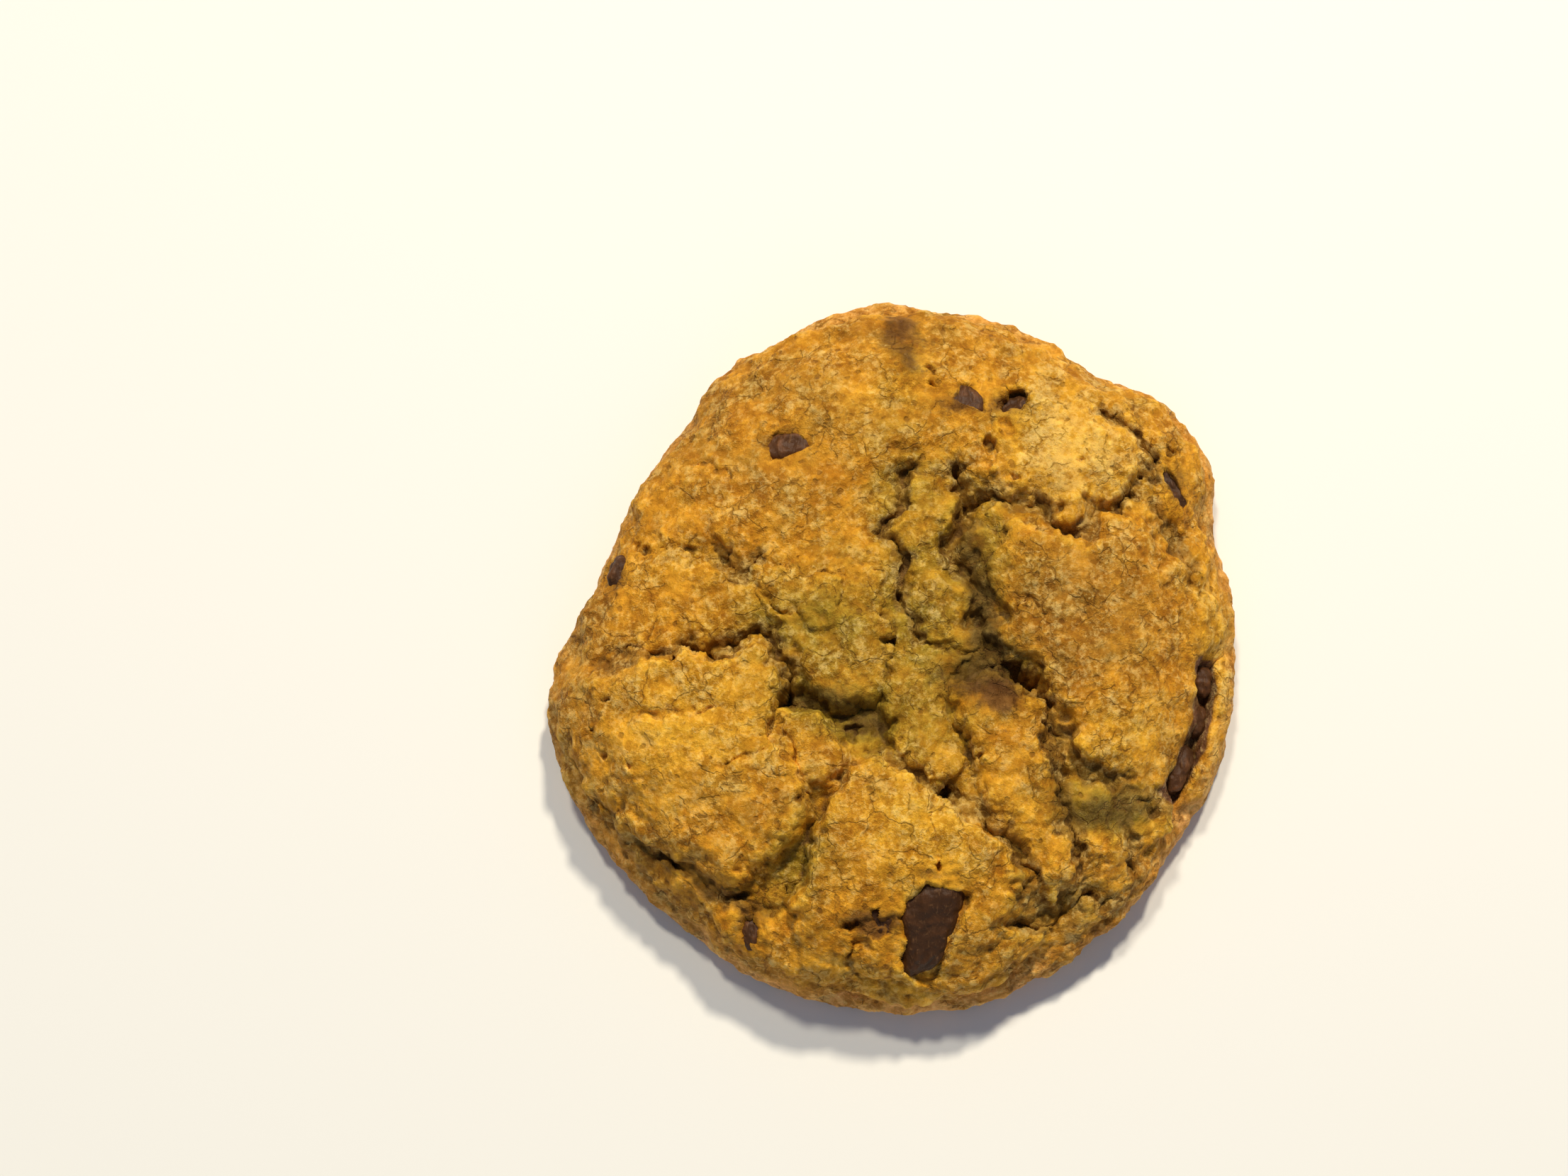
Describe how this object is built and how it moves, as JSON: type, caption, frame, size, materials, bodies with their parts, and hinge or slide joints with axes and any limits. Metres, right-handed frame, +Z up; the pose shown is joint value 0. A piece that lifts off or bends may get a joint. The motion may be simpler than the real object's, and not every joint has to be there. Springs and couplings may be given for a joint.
{
  "type": "chocolate chip cookie",
  "caption": "Round soft-baked cookie with a cracked golden crust, a spread base edge and melted chocolate chips showing in the top and rim.",
  "frame": {"origin": "middle of the flat underside, on the surface that the cookie lies on", "axes": "+Z up through the thickness, -Y towards the side with the large chip, +X to its right"},
  "size_m": [0.0771, 0.0816, 0.0171],
  "materials": {
    "dough": "matt baked dough crust, golden brown",
    "chocolate": "soft satin dark chocolate"
  },
  "bodies": {
    "root": {"cookie": "dough", "chip_front": "chocolate", "chip_front_left": "chocolate", "chip_far_left": "chocolate", "chip_back_middle": "chocolate", "chip_back_right": "chocolate", "chip_low_left": "chocolate", "chip_right_upper": "chocolate", "chip_right_middle": "chocolate", "chip_right_lower": "chocolate", "chip_right_back": "chocolate", "chip_left_upper": "chocolate"}
  },
  "joints": []
}
